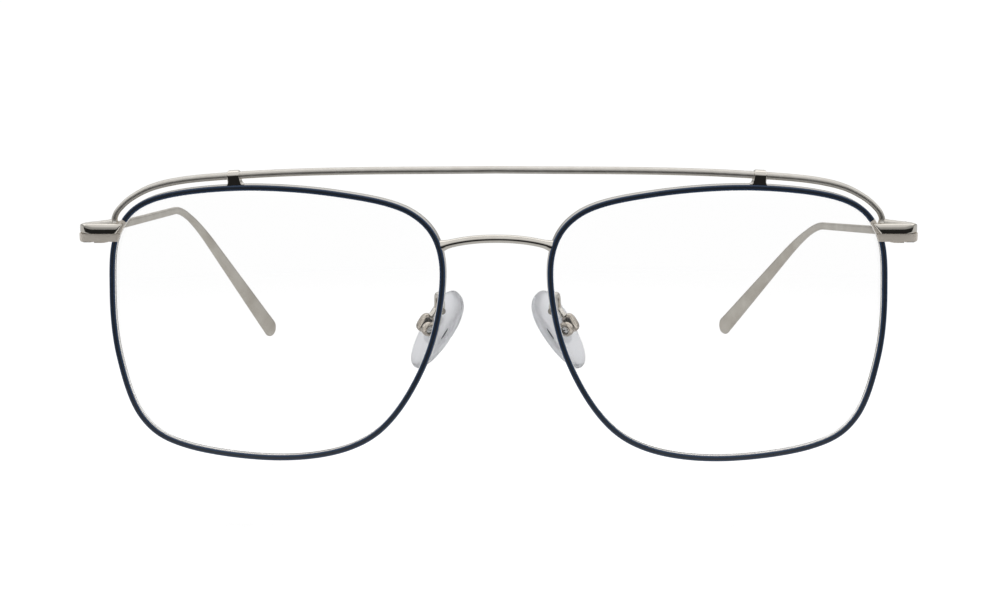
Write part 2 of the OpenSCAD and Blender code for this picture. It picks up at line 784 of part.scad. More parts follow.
at_rest(LEFT) eyewire();  // eyewire_left
at_rest(RIGHT) eyewire();  // eyewire_right
at_rest(LEFT) lens();  // lens_left
at_rest(RIGHT) lens();  // lens_right
at_rest() bridge();
at_rest() brow_bar();
at_rest(LEFT) brow_post();  // brow_post_left
at_rest(RIGHT) brow_post();  // brow_post_right
at_rest(LEFT) end_piece();  // end_piece_left
at_rest(RIGHT) end_piece();  // end_piece_right
at_rest(LEFT) rim_lock();  // rim_lock_left
at_rest(RIGHT) rim_lock();  // rim_lock_right
at_rest(LEFT) lock_screw();  // lock_screw_left
at_rest(RIGHT) lock_screw();  // lock_screw_right
at_rest(LEFT) hinge_front();  // hinge_front_left
at_rest(RIGHT) hinge_front();  // hinge_front_right
at_rest(LEFT) hinge_temple();  // hinge_temple_left
at_rest(RIGHT) hinge_temple();  // hinge_temple_right
at_rest(LEFT) hinge_screw();  // hinge_screw_left
at_rest(RIGHT) hinge_screw();  // hinge_screw_right
at_rest(LEFT) temple(LEFT);  // temple_left
at_rest(RIGHT) temple(RIGHT);  // temple_right
at_rest(LEFT) pad_arm();  // pad_arm_left
at_rest(RIGHT) pad_arm();  // pad_arm_right
at_rest(LEFT) pad_box();  // pad_box_left
at_rest(RIGHT) pad_box();  // pad_box_right
at_rest(LEFT) pad_screw();  // pad_screw_left
at_rest(RIGHT) pad_screw();  // pad_screw_right
at_rest(LEFT) pad_core();  // pad_core_left
at_rest(RIGHT) pad_core();  // pad_core_right
at_rest(LEFT) nose_pad();  // nose_pad_left
at_rest(RIGHT) nose_pad();  // nose_pad_right
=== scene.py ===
# Eyeglass frame: a metal navigator with a lower bridge and a brow bar. Shapes are worked out in
# millimetres in the front's own frame, X to the wearer's left, Y back and Z up, from the point
# midway between the lenses, and at_rest stands them as the open frame stands, in metres.
import math

import bmesh
import bpy
import numpy as np
from mathutils import Matrix


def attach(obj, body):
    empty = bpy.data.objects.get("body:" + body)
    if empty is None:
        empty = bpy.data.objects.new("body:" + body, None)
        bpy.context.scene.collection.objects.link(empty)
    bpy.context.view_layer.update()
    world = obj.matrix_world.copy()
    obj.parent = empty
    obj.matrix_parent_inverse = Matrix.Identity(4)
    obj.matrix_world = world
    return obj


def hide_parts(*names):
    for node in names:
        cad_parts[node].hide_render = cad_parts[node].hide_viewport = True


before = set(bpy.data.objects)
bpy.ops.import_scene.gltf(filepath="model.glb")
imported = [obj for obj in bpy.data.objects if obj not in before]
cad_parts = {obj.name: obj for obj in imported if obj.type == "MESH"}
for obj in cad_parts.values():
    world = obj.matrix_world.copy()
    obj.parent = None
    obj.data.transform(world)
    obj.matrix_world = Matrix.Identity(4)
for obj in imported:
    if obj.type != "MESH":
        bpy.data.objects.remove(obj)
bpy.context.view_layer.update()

# Eyewires: drawn nickel-silver wire with a groove inside, bent round each lens and slit at the
# temple side. The front face is filled with navy enamel, which stops at the end piece, and the
# walls are left polished.
lens_size = np.array([56.6, 46.8])
lens_gap, base_radius, wrap = 18.6, 180.0, math.radians(5)
rim_width, rim_depth, groove_depth, groove_mouth, saw_cut = 1.0, 1.9, 0.4, 0.9, 0.2
rim_inner, rim_outer = -groove_depth, rim_width - groove_depth
lens_middle = lens_gap / 2 + lens_size[0] / 2 * math.cos(wrap)
lock_at = 1.0
tilt, middle_back, middle_high = math.radians(4.63263), 67.1281, 23.7891
outline = np.array([
    [28.4, 5.2], [27.1, 15.2], [20.9, 21], [5.9, 23.4], [-10.7, 22.6], [-23.3, 19.3],
    [-28.2, 11.5], [-26.5, -2.5], [-20.4, -14.8], [-12.5, -21.2], [0.3, -23.5],
    [16.5, -21.9], [24.2, -17.1], [27.7, -6.3],
]) / (56.8, 47)


def through(points, t, loop=False):
    """Smooth curve through points, at t counted in points: between two points it is the cubic
    that leaves each of them along the chord of its neighbours."""
    p, t = np.asarray(points, float), np.asarray(t, float)
    i = np.floor(t).astype(int) if loop else np.clip(np.floor(t).astype(int), 0, len(p) - 2)
    u = (t - i)[..., None]
    if not loop:
        p, i = np.vstack([2 * p[0] - p[1], p, 2 * p[-1] - p[-2]]), i + 1
    a, b, c, d = (p[(i + k) % len(p)] for k in (-1, 0, 1, 2))
    return 0.5 * (2 * b + (c - a) * u + (2 * a - 5 * b + 4 * c - d) * u**2
                  + (3 * b - a - 3 * c + d) * u**3)


def unit(v):
    """The vectors divided by their lengths."""
    return v / np.linalg.norm(v, axis=-1, keepdims=True)


def beside(t, out, back):
    """Point by the lens edge: the edge at t, moved out along its normal, on a sphere of the base
    radius that touches the front, moved back."""
    t, out, back = np.broadcast_arrays(t, out, back)
    edge = through(outline, t, True) * lens_size
    along = unit((through(outline, t + 0.01, True) - through(outline, t - 0.01, True)) * lens_size)
    spot = edge + out[..., None] * np.stack([along[..., 1], -along[..., 0]], -1)
    sag = (edge**2).sum(-1) / (2 * base_radius)
    return np.stack([spot[..., 0], sag + back, spot[..., 1]], -1)


def in_front(p):
    """From the lens's own frame to the front's: turned back by the wrap, then moved sideways."""
    x, y, z = np.moveaxis(p, -1, 0)
    c, s = math.cos(wrap), math.sin(wrap)
    return np.stack([lens_middle + x * c - y * s, x * s + y * c, z], -1)


def at_rest(p, side=1):
    """From the front's frame in millimetres to the model's in metres: mirrored for the right
    side, its top leaned forward by the tilt, raised and centred."""
    x, y, z = np.moveaxis(np.asarray(p, float), -1, 0)
    c, s = math.cos(tilt), math.sin(tilt)
    return np.stack([side * x, y * c - z * s - middle_back, y * s + z * c + middle_high],
                    -1) / 1000


def rounded(corners, radii, steps=5):
    """Closed outline whose corners are rounded: each is replaced by the parabola that starts a
    radius before it, ends a radius after it and has it as its control point."""
    c = np.asarray(corners, float)
    r = np.broadcast_to(radii, len(c))[:, None]
    a, b = (c + unit(np.roll(c, k, 0) - c) * r for k in (1, -1))
    u = np.linspace(0, 1, steps)[:, None, None]
    return ((1 - u)**2 * a + 2 * u * (1 - u) * c + u**2 * b).transpose(1, 0, 2).reshape(-1, 2)


def skin(name, grid, materials, body, stands_for, which=None, sharp=40):
    """Closed piece over a grid of rings, in metres: a quad joins each pair of points on two
    rings, and a fan from its middle closes each end. UV is millimetres along and round it.
    which counts the material of each quad."""
    rings, around = grid.shape[:2]
    points = np.vstack([grid.reshape(-1, 3), grid[0].mean(0), grid[-1].mean(0)])
    i, j = (a.ravel() for a in np.mgrid[0:rings - 1, 0:around])
    ij = np.array([[0, 0], [0, 1], [1, 1], [1, 0]])
    row, column = i[:, None] + ij[:, 0], j[:, None] + ij[:, 1]
    quads = row * around + column % around
    k = np.arange(around)
    first, last = len(points) - 2, len(points) - 1
    ends = np.concatenate([
        np.stack([np.full(around, first), (k + 1) % around, k], -1),
        np.stack([np.full(around, last), k + (rings - 1) * around,
                  (k + 1) % around + (rings - 1) * around], -1)])
    run = np.linalg.norm(np.diff(grid.mean(1), axis=0), axis=1)
    length = 1000 * np.concatenate([[0], np.cumsum(run)])
    turn = np.linalg.norm(grid[rings // 2] - np.roll(grid[rings // 2], -1, 0), axis=1)
    girth = 1000 * np.concatenate([[0], np.cumsum(turn)])
    uv = np.stack([length[row], girth[column]], -1)
    end_uv = np.zeros(ends.shape + (2,))
    a, b, c, d = (points[quads[:, n]] for n in range(4))
    if (a * (np.cross(b, c) + np.cross(c, d))).sum() < 0:
        quads, uv, ends = quads[:, ::-1], uv[:, ::-1], ends[:, ::-1]
    corners = np.concatenate([quads.ravel(), ends.ravel()])
    starts = np.concatenate([4 * np.arange(len(quads)), 4 * len(quads) + 3 * np.arange(len(ends))])
    mesh = bpy.data.meshes.new(name)
    mesh.vertices.add(len(points))
    mesh.vertices.foreach_set("co", points.ravel())
    mesh.loops.add(len(corners))
    mesh.loops.foreach_set("vertex_index", corners.astype(np.int32))
    mesh.polygons.add(len(starts))
    mesh.polygons.foreach_set("loop_start", starts.astype(np.int32))
    if which is not None:
        index = np.concatenate([which.ravel(), np.zeros(len(ends), int)])
        mesh.polygons.foreach_set("material_index", index.astype(np.int32))
    mesh.update(calc_edges=True)
    layer = mesh.uv_layers.new(name="UVMap")
    layer.data.foreach_set("uv", np.concatenate([uv.ravel(), end_uv.ravel()]))
    mesh.polygons.foreach_set("use_smooth", np.ones(len(starts), bool))
    mesh.set_sharp_from_angle(angle=math.radians(sharp))
    mesh.validate()
    return fitted(name, mesh, materials, body, stands_for)


def fitted(name, mesh, materials, body, stands_for):
    """Object for a mesh that is already in place, with its materials, body and CAD nodes."""
    for material in materials:
        mesh.materials.append(material)
    piece = bpy.data.objects.new(name, mesh)
    bpy.context.scene.collection.objects.link(piece)
    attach(piece, body)
    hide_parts(*stands_for)
    return piece


def linear(colour):
    """Linear colour of an sRGB hex value, by the sRGB curve."""
    c = np.array([int(colour[k:k + 2], 16) for k in (1, 3, 5)]) / 255
    return (*np.where(c <= 0.04045, c / 12.92, ((c + 0.055) / 1.055)**2.4), 1.0)


def add(tree, kind, inputs=None, **settings):
    """Adds a node with its settings, and gives each input a value or a link."""
    node = tree.nodes.new("ShaderNode" + kind)
    for name, value in settings.items():
        setattr(node, name, value)
    for name, value in (inputs or {}).items():
        if isinstance(value, bpy.types.NodeSocket):
            tree.links.new(value, node.inputs[name])
        else:
            node.inputs[name].default_value = value
    return node


def finish(name, **surface):
    """A material with its tree and its Principled surface, which has the given values."""
    made = bpy.data.materials.new(name)
    made.use_nodes = True
    shader = made.node_tree.nodes["Principled BSDF"]
    for socket, value in surface.items():
        shader.inputs[socket.replace("_", " ")].default_value = value
    return made, made.node_tree, shader


def metal(name, light, dark, roughness, cloud, grain, along=None, relief=0.02):
    """Metal whose colour runs from light to dark and whose roughness runs between two values, in
    clouds of one size, with a grain of another, both in millimetres. along stretches the grain
    on the UV map, as brushing does."""
    made, tree, shader = finish(name, Metallic=1.0)
    place = add(tree, "TexCoord")
    clouds = add(tree, "TexNoise", {"Vector": place.outputs["Object"], "Scale": 1000 / cloud,
                                    "Detail": 3.0})
    where = add(tree, "Mapping", {"Vector": place.outputs["UV" if along else "Object"],
                                  "Scale": (1 / along, 1, 1) if along else (1000, 1000, 1000)})
    fine = add(tree, "TexNoise", {"Vector": where.outputs["Vector"], "Scale": 1 / grain,
                                  "Detail": 4.0})
    colour = add(tree, "ValToRGB", {"Fac": clouds.outputs["Fac"]})
    for stop, at, value in zip(colour.color_ramp.elements, (0.3, 0.72), (dark, light)):
        stop.position, stop.color = at, linear(value)
    both = add(tree, "Math", {0: clouds.outputs["Fac"], 1: fine.outputs["Fac"]},
               operation="MULTIPLY")
    rough = add(tree, "MapRange", {"Value": both.outputs["Value"], "From Min": 0.1,
                                   "From Max": 0.45, "To Min": roughness[0],
                                   "To Max": roughness[1]})
    bump = add(tree, "Bump", {"Height": fine.outputs["Fac"], "Strength": 0.4,
                              "Distance": relief / 1000})
    tree.links.new(colour.outputs["Color"], shader.inputs["Base Color"])
    tree.links.new(rough.outputs["Result"], shader.inputs["Roughness"])
    tree.links.new(bump.outputs["Normal"], shader.inputs["Normal"])
    return made


# Nickel plating over drawn wire, tumbled: bright and a little warm, with a soft grain.
plating = metal("nickel plating", "#DDD9D2", "#CBC6BD", (0.16, 0.28), 1.6, 0.12, relief=0.003)

# The same plating over polished metal, on the bridge, the visors and the posts: a mirror.
polished = metal("polished nickel plating", "#DAD6CE", "#D2CDC5", (0.06, 0.12), 1.6, 0.2,
                 relief=0.001)

# The same plating on tumbled faces, near the end pieces, on the locks and on the hinges: an even
# soft satin.
tumbled = metal("tumbled nickel plating", "#F1E9DE", "#E8E0D5", (0.42, 0.52), 2.5, 0.1,
                relief=0.002)
tumbled.node_tree.nodes["Principled BSDF"].inputs["Metallic"].default_value = 0.4

# Navy epoxy enamel, flowed into the rim's front and cured: near black, with a painted sheen: its
# colour is mixed towards blue along both edges of the front, for the light that the rounded edges
# catch. UV counts the millimetres round the rim's section.
enamel, tree, shader = finish("navy enamel", Coat_Weight=0.35, Coat_Roughness=0.12)
place = add(tree, "TexCoord")
flow = add(tree, "TexNoise", {"Vector": place.outputs["Object"], "Scale": 1000 / 2.2,
                              "Detail": 2.0})
shade = add(tree, "ValToRGB", {"Fac": flow.outputs["Fac"]})
shade.color_ramp.elements[0].color = linear("#1E232B")
shade.color_ramp.elements[1].color = linear("#262D38")
front_middle = 0.65
round_rim = add(tree, "SeparateXYZ", {"Vector": place.outputs["UV"]})
from_middle = add(tree, "Math", {0: round_rim.outputs["Y"], 1: front_middle},
                  operation="SUBTRACT")
off_middle = add(tree, "Math", {0: from_middle.outputs["Value"]}, operation="ABSOLUTE")
# Painted sheen: up to 0.65 of blue is mixed into the colour towards both edges of the front face.
edge_sheen = add(tree, "MapRange", {"Value": off_middle.outputs["Value"], "From Min": 0.08,
                              "From Max": 0.53, "To Max": 0.65})
blue = add(tree, "Mix", {0: edge_sheen.outputs["Result"], 6: shade.outputs["Color"],
                         7: linear("#355A88")}, data_type="RGBA")
orange_peel = add(tree, "TexNoise", {"Vector": place.outputs["Object"], "Scale": 1000 / 0.5})
gloss = add(tree, "MapRange", {"Value": orange_peel.outputs["Fac"], "To Min": 0.22,
                               "To Max": 0.42})
ripple = add(tree, "Bump", {"Height": orange_peel.outputs["Fac"], "Strength": 0.3,
                            "Distance": 0.00001})
tree.links.new(blue.outputs[2], shader.inputs["Base Color"])
tree.links.new(gloss.outputs["Result"], shader.inputs["Roughness"])
tree.links.new(ripple.outputs["Normal"], shader.inputs["Normal"])

face_round, back_round, mouth_round, groove_round = 0.24, 0.2, 0.06, 0.05
rim_section = rounded(
    [[rim_inner, 0], [rim_outer, 0], [rim_outer, rim_depth], [rim_inner, rim_depth],
     [rim_inner, rim_depth / 2 + groove_mouth / 2], [0, rim_depth / 2],
     [rim_inner, rim_depth / 2 - groove_mouth / 2]],
    [face_round, face_round, back_round, back_round, mouth_round, groove_round, mouth_round])
end_low, end_high, enamel_depth = 13.6853, 16.8853, 0.14
pitch = np.linalg.norm(through(outline, [1.5], True) * lens_size
                       - through(outline, [0.5], True) * lens_size)
t = lock_at + np.linspace(saw_cut / 2 / pitch, len(outline) - saw_cut / 2 / pitch, 640)
rim = in_front(beside(t[:, None], rim_section[:, 0], rim_section[:, 1]))
height, across = rim[:-1, 0, 2], rim[:-1, 0, 0]
painted = ~((across > lens_middle) & (height > end_low - 0.1) & (height < end_high + 0.1))
front_face = np.maximum(rim_section[:, 1], np.roll(rim_section[:, 1], -1)) < enamel_depth
coat = np.where(painted[:, None] & front_face, 1, np.where(painted[:, None], 0, 2))
for side, hand in ((1, "left"), (-1, "right")):
    skin("eyewire_" + hand + "_rim", at_rest(rim, side), [plating, enamel, tumbled],
         "front", ["eyewire_" + hand], coat)

# Lenses: clear demonstration lenses of moulded resin, ground to a V-shaped edge that sits in the
# eyewire's groove. They are thin, uncoated and all but invisible.
lens_thickness, lens_play = 1.2, 0.05

# Lens resin, polished: as clear as glass, with the faintest haze where it was wiped.
resin, tree, shader = finish("clear lens resin", Base_Color=linear("#FFFFFF"), IOR=1.498,
                             Transmission_Weight=1.0, Specular_IOR_Level=0.1)
place = add(tree, "TexCoord")
wipe = add(tree, "TexNoise", {"Vector": place.outputs["Object"], "Scale": 1000 / 9})
haze = add(tree, "MapRange", {"Value": wipe.outputs["Fac"], "To Min": 0.0, "To Max": 0.012})
tree.links.new(haze.outputs["Result"], shader.inputs["Roughness"])

t = lock_at + np.arange(24 * len(outline)) / 24
wall, bevel, apex = -groove_depth - lens_play, groove_mouth / 2 - lens_play, -1.5 * lens_play
halves = lens_thickness / 2


def lens_ring(share, out, back):
    """Ring inside the lens: the edge moved out, shrunk to a share, on the base sphere moved
    back from the lens's middle."""
    ring = beside(t, out, 0)[:, [0, 2]] * share
    sag = (ring**2).sum(1) / (2 * base_radius)
    return np.stack([ring[:, 0], sag + rim_depth / 2 + back, ring[:, 1]], -1)


shares = np.linspace(0.04, 1, 24)
rings = ([lens_ring(s, wall, -halves) for s in shares] + [lens_ring(1, wall, -bevel)]
         + [lens_ring(1, apex, 0)] + [lens_ring(1, wall, bevel)]
         + [lens_ring(s, wall, halves) for s in shares[::-1]])
for side, hand in ((1, "left"), (-1, "right")):
    skin("lens_" + hand + "_resin", at_rest(in_front(np.array(rings)), side), [resin], "front",
         ["lens_" + hand])

# Lower bridge: a round nickel-silver wire, arched between the eyewires, butted against their
# sides and silver-soldered, which leaves a small fillet round each foot.
bridge_width, bridge_height, bridge_rise, bridge_at = 1.4, 13.8, 1.35, 5.78325


def wire(path, radii, around=28, reference=(0, 0.3, 1)):
    """Rings of a round wire: at each point of the path a circle square to it, of that radius."""
    d = unit(np.gradient(path, axis=0))
    s = unit(np.cross(d, reference))
    v = np.cross(s, d)
    a = np.linspace(0, 2 * np.pi, around, endpoint=False)[None, :, None]
    radii = np.broadcast_to(radii, len(path))[:, None, None]
    return path[:, None] + radii * (np.cos(a) * s[:, None] + np.sin(a) * v[:, None])


foot = in_front(beside(bridge_at, rim_outer, rim_depth / 2))
u = np.sin(np.linspace(-np.pi / 2, np.pi / 2, 121)) * 0.35 + np.linspace(-1, 1, 121) * 0.65
bow = np.stack([foot[0] * u, foot[1] * (0.35 + 0.65 * u**2),
                bridge_height + bridge_rise * (1 - abs(u)**2.2)], -1)
from_foot = foot[0] * (1 - abs(u))
fillet = 1 + 0.42 * np.exp(-(from_foot / 0.7)**1.3)
skin("bridge_wire", at_rest(wire(bow, bridge_width / 2 * fillet)), [polished], "front",
     ["bridge"])

# Brow bar: one long wire over both eyewires, nearly straight across the brow and bent down at
# its ends, where it is soldered on top of the end pieces.
brow_width, brow_rise, brow_bow, brow_front, brow_sunk = 1.25, 3.4, 388.0, 0.3, 0.35
slim_from, slim_over, slim_share = 56.0, 8.0, 0.2
brow_height = lens_size[1] / 2 + brow_rise
brow_end = (64.8, end_high + 0.02)
brow_shape = np.array([
    [0, 0], [0.3, 0.022], [0.5, 0.062], [0.66, 0.13], [0.8, 0.225], [0.89, 0.36],
    [0.95, 0.56], [0.985, 0.76], [0.998, 0.9], [1, 1],
])


def brow_at(t):
    """Middle of the bar at t counted in shape points: their shares of half the span and of the
    drop, on a wide circle seen from above."""
    s = through(brow_shape, abs(t))
    x = brow_end[0] * s[..., 0] * np.sign(t)
    z = brow_height - (brow_height - brow_end[1]) * s[..., 1]
    return np.stack([x, brow_front + x**2 / (2 * brow_bow), z], -1)


# Nickel plating over drawn wire that was not polished again: dull, so reflections are soft.
drawn = metal("drawn nickel plating", "#D4D1CB", "#C9C5BE", (0.38, 0.5), 1.6, 0.12, relief=0.003)

t = np.linspace(-9, 9, 361)
bar = brow_at(t)
drops = np.linspace(brow_sunk, 0, 5, endpoint=False)[:, None] * [0, 0, -1]
bar = np.vstack([bar[0] + drops, bar, (bar[-1] + drops)[::-1]])
solder = 1 + 0.35 * np.exp(-np.maximum(0, bar[:, 2] - brow_end[1]) / 0.25)
solder -= slim_share * np.clip((abs(bar[:, 0]) - slim_from) / slim_over, 0, 1)
skin("brow_bar_wire", at_rest(wire(bar, brow_width / 2 * solder)), [drawn], "front",
     ["brow_bar"])

# Brow posts: small milled saddles that clasp the bar and stand on the eyewire, soldered above
# and below. Their tops are rounded over the bar and their fronts are flat and mirror-bright.
post_width, post_wall, post_t, post_rim_t = 2.15, 0.3, 3.10592, 2.96494
post_flare, undercut, into_rim = 0.42, math.radians(12), 0.02
post_half = brow_width / 2 + post_wall
top = brow_at(np.array(post_t))
run = unit(brow_at(np.array(post_t + 0.1)) - brow_at(np.array(post_t - 0.1)))
level = unit(np.array([-run[1], run[0], 0]))
upright = np.cross(run, level)
stand = in_front(beside(post_rim_t, rim_outer, rim_depth / 2))
drop = (top[2] - stand[2]) * upright[2] - into_rim


def block_ring(a, b, power, around=48):
    """Rounded rectangle of half sizes a and b: the superellipse of that power."""
    k = np.linspace(0, 2 * np.pi, around, endpoint=False)
    c, s = np.cos(k), np.sin(k)
    return np.stack([a * np.sign(c) * abs(c)**(2 / power), b * np.sign(s) * abs(s)**(2 / power)],
                    -1)


h = np.concatenate([-drop + np.linspace(0, 0.7, 12), np.linspace(-drop + 0.8, 0, 8),
                    post_half * np.sin(np.linspace(0.08, np.pi / 2 - 0.06, 22))])
flare = post_flare * np.exp(-(h + drop) / 0.2)
crown = np.sqrt(1 - (np.maximum(h, 0) / post_half)**2)
sides = np.sqrt(1 - np.clip((h - 0.4 * post_half) / (0.62 * post_half), 0, 1)**2 * 0.5)
lean = 0.5 * math.tan(undercut) * np.maximum(0, -h)
saddle = np.array([block_ring(post_width / 2 * k + f, post_half * c - b, 9) + (0, b)
                   for k, c, f, b in zip(sides, crown, flare, lean)])
post = (top + saddle[..., :1] * run + saddle[..., 1:] * level + h[:, None, None] * upright)
for side, hand in ((1, "left"), (-1, "right")):
    skin("brow_post_" + hand + "_saddle", at_rest(post, side), [polished], "front",
         ["brow_post_" + hand])

# End pieces and rim locks: two milled blocks on each side, one above the other. The upper one
# has a curved, polished front and a side that turns back to the hinge, and a low run of solder
# on its top holds the brow bar. A screw from below pulls the lower block up and closes the eyewire.


def eased(node, material, width, body, segments=3):
    """Copy of a CAD solid with its triangles welded, its flat faces joined and its edges rounded
    by a width in millimetres."""
    form = bmesh.new()
    form.from_mesh(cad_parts[node].data)
    bmesh.ops.remove_doubles(form, verts=form.verts, dist=2e-6)
    bmesh.ops.dissolve_limit(form, angle_limit=math.radians(0.5), verts=form.verts,
                             edges=form.edges)
    mesh = bpy.data.meshes.new(node)
    form.to_mesh(mesh)
    form.free()
    mesh.polygons.foreach_set("use_smooth", np.ones(len(mesh.polygons), bool))
    mesh.set_sharp_from_angle(angle=math.radians(32))
    piece = fitted(node + "_eased", mesh, [material], body, [node])
    bevel = piece.modifiers.new("eased edges", "BEVEL")
    bevel.width, bevel.segments, bevel.limit_method = width / 1000, segments, "ANGLE"
    bevel.angle_limit = math.radians(35)
    bevel.harden_normals = True
    return piece


end_outer, side_thick, visor_round, hinge_back = 70.9, 1.6, 2.6, 10.4555
visor_low, front_of, back_of, side_slope = 15.2353, 4.15549, 6.55549, math.radians(10)
rim_cover, end_slant, step_slant, step_x, inner_round = 0.76, 1.25, 0.8, 65.2, 0.32
shoulder_drop, shoulder_wide = 0.48, 0.75
inner_x = in_front(beside(lock_at, 0.3, 0))[0]


def end_ring(low, high, depth, full):
    """Ring of the end piece's section, as depth behind its outer face and height. Up the face,
    whose normal turns from 7 degrees down at its lower edge to upright at the top where full
    is 1 and stays level where it is 0, then back over the top, down the inner face and forward
    along the bottom. The third value is how far up the ring is, from 0 to 1."""
    turn = np.interp(face_up, [0, 0.3, 0.48, 0.58, 0.68, 0.78, 0.88, 0.95, 1],
                     [-7, 2, 9, 11.5, 14.5, 19, 36, 62, 86])
    plain = np.interp(face_up, [0, 0.06, 0.12, 0.84, 0.93, 1], [-75, -35, 0, 0, 35, 80])
    steep = np.tan(np.radians(full * turn + (1 - full) * plain))
    step = np.diff(face_up) * (high - low)
    into = np.concatenate([[0], np.cumsum((steep[1:] + steep[:-1]) / 2 * step)])
    into = into - into.min()
    over, down = np.linspace(0, 1, 8)[1:], np.linspace(1, 0, 10)[1:]
    under = np.linspace(1, 0, 6)[1:-1]
    q = np.concatenate([into, into[-1] + (depth - into[-1]) * over, np.full(9, depth),
                        into[0] + (depth - into[0]) * under])
    z = np.concatenate([low + (high - low) * face_up, np.full(7, high),
                        low + (high - low) * down, np.full(4, low)])
    return np.stack([q, z, np.clip((z - visor_low) / (end_high - visor_low), 0, 1)], -1)


face_up = np.concatenate([np.linspace(0, 0.86, 22), np.linspace(0.88, 1, 10)])
sections = []
reach = back_of - front_of
# Over the eyewire it is thin, with a slanted inner end.
for share in (0, 0.04, 0.1, 0.18, 0.28, 0.42, 0.58, 0.75, 1):
    ring = end_ring(visor_low, end_high, rim_cover, 1)
    start, step = inner_x - end_slant * ring[:, 2], step_x - step_slant * ring[:, 2]
    x = start + (step - start) * share
    near = np.clip(1 - (x - start) / inner_round, 0, 1)
    y = front_of + ring[:, 0] + inner_round * (1 - np.sqrt(1 - near**2)) * (ring[:, 0] < 0.5)
    sections.append(np.stack([x, y, ring[:, 1]], -1))
# Beside the eyewire it has its full depth.
for share in (0.004, 0.2, 0.4, 0.6, 0.8, 1):
    ring = end_ring(visor_low, end_high, reach, 1)
    step = step_x - step_slant * ring[:, 2]
    x = step + (end_outer - visor_round - step) * share
    sections.append(np.stack([x, front_of + ring[:, 0], ring[:, 1]], -1))
# Round the corner the front's curve fades out, and the top slopes down to the side's.
for share in np.linspace(0, 1, 14)[1:]:
    angle = share * math.pi / 2
    outer = np.array([end_outer - visor_round + visor_round * math.sin(angle),
                      front_of + visor_round * (1 - math.cos(angle))])
    inner = np.array([end_outer - visor_round + (visor_round - side_thick) * share, back_of])
    deep = np.linalg.norm(inner - outer)
    shoulder = shoulder_drop * np.clip(1 + (outer[0] - end_outer) / shoulder_wide, 0, 1)**2
    ring = end_ring(visor_low, end_high - shoulder, deep, 1 - share)
    plan = outer + (inner - outer) * ring[:, :1] / deep
    sections.append(np.column_stack([plan, ring[:, 1]]))
# The side slopes down to the hinge, and behind the lock it has the height of both blocks.
for y, tall in ((6.77, 0), (6.78, 1), (7.2, 1), (7.8, 1), (8.8, 1), (hinge_back, 1)):
    low = end_low - (y - front_of) * math.tan(side_slope) if tall else visor_low
    high = end_high - shoulder_drop - (y - back_of) * math.tan(side_slope)
    ring = end_ring(low, high, side_thick, 0)
    sections.append(np.stack([end_outer - ring[:, 0], np.full(len(ring), y), ring[:, 1]], -1))
# The solder runs outward from the bar's foot, high and wide at first.
run_out = np.linspace(0, 1, 26)
ridge_high = 0.6 * (1 - run_out)**1.2 + 0.03 * np.sin(run_out * 21) * (1 - run_out)
ridge_wide = 0.7 * np.sqrt(1 - run_out**2 * 0.93) + 0.02 * np.sin(run_out * 9)
ridge_start, ridge_long, ridge_back, ridge_sunk = brow_end[0] + 0.3, 4.7, 5.7, 0.06
along_top = ridge_start + ridge_long * run_out
a = np.linspace(-0.5, 0.5, 15)[None, :] * math.pi
solder_run = np.stack(np.broadcast_arrays(
    along_top[:, None], ridge_back + ridge_wide[:, None] * np.sin(a),
    end_high - ridge_sunk + (ridge_high + ridge_sunk)[:, None] * np.cos(a)), -1)
for side, hand in ((1, "left"), (-1, "right")):
    skin("brow_bar_" + hand + "_solder", at_rest(solder_run, side), [drawn], "front",
         ["brow_bar"])
    skin("end_piece_" + hand + "_visor", at_rest(np.array(sections), side), [polished], "front",
         ["end_piece_" + hand], sharp=35)
    eased("rim_lock_" + hand, tumbled, 0.1, "front")

# Screws: turned stainless steel, slotted, one through each lock and one through each hinge.
steel = metal("turned stainless steel", "#D8D8D6", "#BDBDBB", (0.14, 0.28), 0.8, 0.05,
              relief=0.004)
for hand in ("left", "right"):
    eased("lock_screw_" + hand, steel, 0.05, "front")
    eased("hinge_screw_" + hand, steel, 0.05, "front")

# Hinges: three-barrel hinges, two barrels soldered inside the end piece and one on the temple.
for hand in ("left", "right"):
    eased("hinge_front_" + hand, tumbled, 0.06, "front")
    eased("hinge_temple_" + hand, tumbled, 0.06, "temple_" + hand)

# Temples: one nickel-silver wire each, flattened at the butt, drawn down to a slim arm, bent at
# the ear and hammered out to a flat paddle. The finish is satin, brushed along its length.
butt_tall, hinge_high, hinge_play, straight_run = 3.1, 14.1745, 0.04, 5.0
arm_length, arm_tall, arm_thick, butt = 93.0, 1.5, 1.05, 15.0
drop_length, drop_turn, bend, tip_wide, tip_thick, tip_down = 47.5, 26.5, 13.5, 4.0, 1.35, 34.5
arm_angles = {"left": (10.4, 3.0), "right": (8.1, 0.5)}

# Satin nickel: brushed lengthwise, which spreads the highlight across the wire.
satin = metal("satin nickel", "#DCD7CD", "#C1BAAE", (0.3, 0.44), 6.0, 0.05, along=14,
              relief=0.008)


def heading(slope, turn):
    """Unit vector that runs back, down by the slope and inward by the turn, in degrees."""
    a, b = math.radians(slope), math.radians(turn)
    return np.array([-math.cos(a) * math.sin(b), math.cos(a) * math.cos(b), -math.sin(a)])


def temple_path(s, hand):
    """Middle of a temple at s millimetres from its butt: two straight runs, a parabola round the
    ear and a straight drop to the tip."""
    slope, turn = arm_angles[hand]
    root = np.array([end_outer - side_thick / 2, hinge_back + hinge_play, hinge_high])
    straight, arm = heading(slope, 0), heading(slope, turn)
    ear = root + straight_run * straight + (arm_length - straight_run) * arm
    fall = (ear[2] + tip_down - tip_wide / 2) / (drop_length - tip_wide / 2)
    down = heading(math.degrees(math.asin(fall)), drop_turn)
    s = s[:, None]
    u = np.clip((s - arm_length + bend) / (2 * bend), 0, 1)
    curved = ear - (1 - u)**2 * bend * arm + u**2 * bend * down
    path = np.where(s < arm_length - bend, ear + (s - arm_length) * arm, curved)
    path = np.where(s > arm_length + bend, ear + (s - arm_length) * down, path)
    return np.where(s < straight_run, root + s * straight, path)


